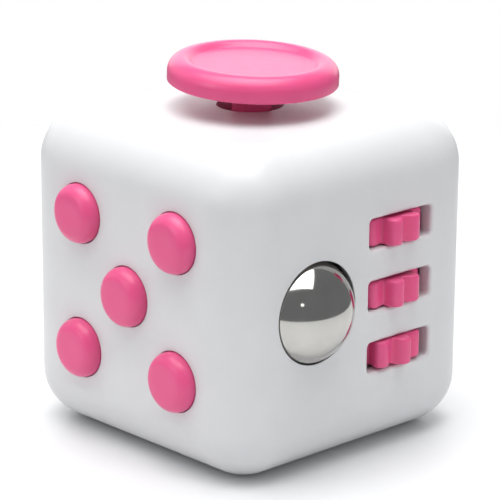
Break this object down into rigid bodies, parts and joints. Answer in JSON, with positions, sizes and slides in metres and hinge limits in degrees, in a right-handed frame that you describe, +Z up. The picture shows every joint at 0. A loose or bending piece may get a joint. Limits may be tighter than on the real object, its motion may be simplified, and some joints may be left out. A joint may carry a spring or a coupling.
{
  "type": "fidget cube",
  "caption": "Rounded hand-held cube with click buttons, rolling ball, thumb gears, tilting disc joystick, flip rocker, spin dial and a worry-stone hollow.",
  "frame": {"origin": "middle of the face the cube rests on, between the farthest points of the buttons and the rocker, and of the ball and the dial", "axes": "+Z up through the joystick, -Y out of the click-button face, +X out of the ball and gear face"},
  "size_m": [0.0381, 0.0363, 0.0384],
  "materials": {
    "white_shell": "satin moulded",
    "pink_plastic": "satin moulded",
    "polished_steel": "polished",
    "spring_steel": "bright",
    "zinc_screw": "zinc plated",
    "natural_nylon": "as moulded",
    "grey_silicone": "matt"
  },
  "bodies": {
    "casing": {"body_shell": "white_shell", "base_cover": "white_shell", "click_screw_upper": "zinc_screw", "click_screw_lower": "zinc_screw", "ball_screw_upper": "zinc_screw", "ball_screw_lower": "zinc_screw", "bracket_screw_upper": "zinc_screw", "bracket_screw_lower": "zinc_screw", "joystick_screw_right": "zinc_screw", "joystick_screw_left": "zinc_screw", "rocker_screw_upper": "zinc_screw", "rocker_screw_lower": "zinc_screw", "dial_spring_screw": "zinc_screw", "click_dome_upper_left": "spring_steel", "click_dome_centre": "spring_steel", "click_dome_lower_right": "spring_steel", "silent_pad_upper_right": "grey_silicone", "silent_pad_lower_left": "grey_silicone", "button_backplate": "natural_nylon", "ball_spring": "spring_steel", "ball_housing": "natural_nylon", "gear_bracket": "natural_nylon", "gear_axle": "polished_steel", "joystick_housing": "natural_nylon", "joystick_spring": "spring_steel", "rocker_pin": "polished_steel", "rocker_housing": "natural_nylon", "rocker_leaf_spring": "spring_steel", "dial_washer": "spring_steel", "dial_leaf_spring": "spring_steel"},
    "button_upper_left": {"button_upper_left": "pink_plastic"},
    "button_upper_right": {"button_upper_right": "pink_plastic"},
    "button_centre": {"button_centre": "pink_plastic"},
    "button_lower_left": {"button_lower_left": "pink_plastic"},
    "button_lower_right": {"button_lower_right": "pink_plastic"},
    "ball_cup": {"ball_cup": "natural_nylon"},
    "ball": {"steel_ball": "polished_steel"},
    "gear_upper": {"gear_upper": "pink_plastic"},
    "gear_middle": {"gear_middle": "pink_plastic"},
    "gear_lower": {"gear_lower": "pink_plastic"},
    "joystick_cradle": {"joystick_cradle": "natural_nylon", "joystick_pin": "polished_steel"},
    "joystick": {"joystick_cap": "pink_plastic", "joystick_stem": "pink_plastic"},
    "rocker": {"rocker": "pink_plastic"},
    "dial": {"spin_dial": "pink_plastic", "dial_detent_wheel": "natural_nylon", "dial_screw": "zinc_screw"}
  },
  "joints": [
    {"name": "button_upper_left_press", "type": "slide", "parent": "casing", "child": "button_upper_left", "axis": [0, 1, 0], "range_m": [0, 0.0006], "stiffness_N_per_m": 25, "deforming": ["click_dome_upper_left"]},
    {"name": "button_upper_right_press", "type": "slide", "parent": "casing", "child": "button_upper_right", "axis": [0, 1, 0], "range_m": [0, 0.0006], "stiffness_N_per_m": 25, "deforming": ["silent_pad_upper_right"]},
    {"name": "button_centre_press", "type": "slide", "parent": "casing", "child": "button_centre", "axis": [0, 1, 0], "range_m": [0, 0.0006], "stiffness_N_per_m": 25, "deforming": ["click_dome_centre"]},
    {"name": "button_lower_left_press", "type": "slide", "parent": "casing", "child": "button_lower_left", "axis": [0, 1, 0], "range_m": [0, 0.0006], "stiffness_N_per_m": 25, "deforming": ["silent_pad_lower_left"]},
    {"name": "button_lower_right_press", "type": "slide", "parent": "casing", "child": "button_lower_right", "axis": [0, 1, 0], "range_m": [0, 0.0006], "stiffness_N_per_m": 25, "deforming": ["click_dome_lower_right"]},
    {"name": "ball_press", "type": "slide", "parent": "casing", "child": "ball_cup", "axis": [-1, 0, 0], "range_m": [0, 0.0008], "stiffness_N_per_m": 200, "deforming": ["ball_spring"]},
    {"name": "ball_roll", "type": "hinge", "parent": "ball_cup", "child": "ball", "pos_m": [0.0139, -0.00658, 0.01646], "axis": [0, 0, 1], "continuous": true},
    {"name": "gear_upper_spin", "type": "hinge", "parent": "casing", "child": "gear_upper", "pos_m": [0.01325, 0.00488, 0.02284], "axis": [0, 0, 1], "continuous": true},
    {"name": "gear_middle_spin", "type": "hinge", "parent": "casing", "child": "gear_middle", "pos_m": [0.01325, 0.00488, 0.01649], "axis": [0, 0, 1], "continuous": true},
    {"name": "gear_lower_spin", "type": "hinge", "parent": "casing", "child": "gear_lower", "pos_m": [0.01325, 0.00488, 0.01031], "axis": [0, 0, 1], "continuous": true},
    {"name": "joystick_tilt_forward", "type": "hinge", "parent": "casing", "child": "joystick_cradle", "pos_m": [0, 0, 0.028], "axis": [1, 0, 0], "range_deg": [-8, 8], "stiffness_Nm_per_rad": 0.002},
    {"name": "joystick_tilt_sideways", "type": "hinge", "parent": "joystick_cradle", "child": "joystick", "pos_m": [0, 0, 0.028], "axis": [0, 1, 0], "range_deg": [-10.8, 5.2], "stiffness_Nm_per_rad": 0.002, "deforming": ["joystick_spring"]},
    {"name": "rocker_flip", "type": "hinge", "parent": "casing", "child": "rocker", "pos_m": [0, 0.0139, 0.0165], "axis": [1, 0, 0], "range_deg": [0, 20], "deforming": ["rocker_leaf_spring"]},
    {"name": "dial_spin", "type": "hinge", "parent": "casing", "child": "dial", "pos_m": [-0.0165, 0, 0.0165], "axis": [-1, 0, 0], "continuous": true, "deforming": ["dial_leaf_spring"]}
  ]
}
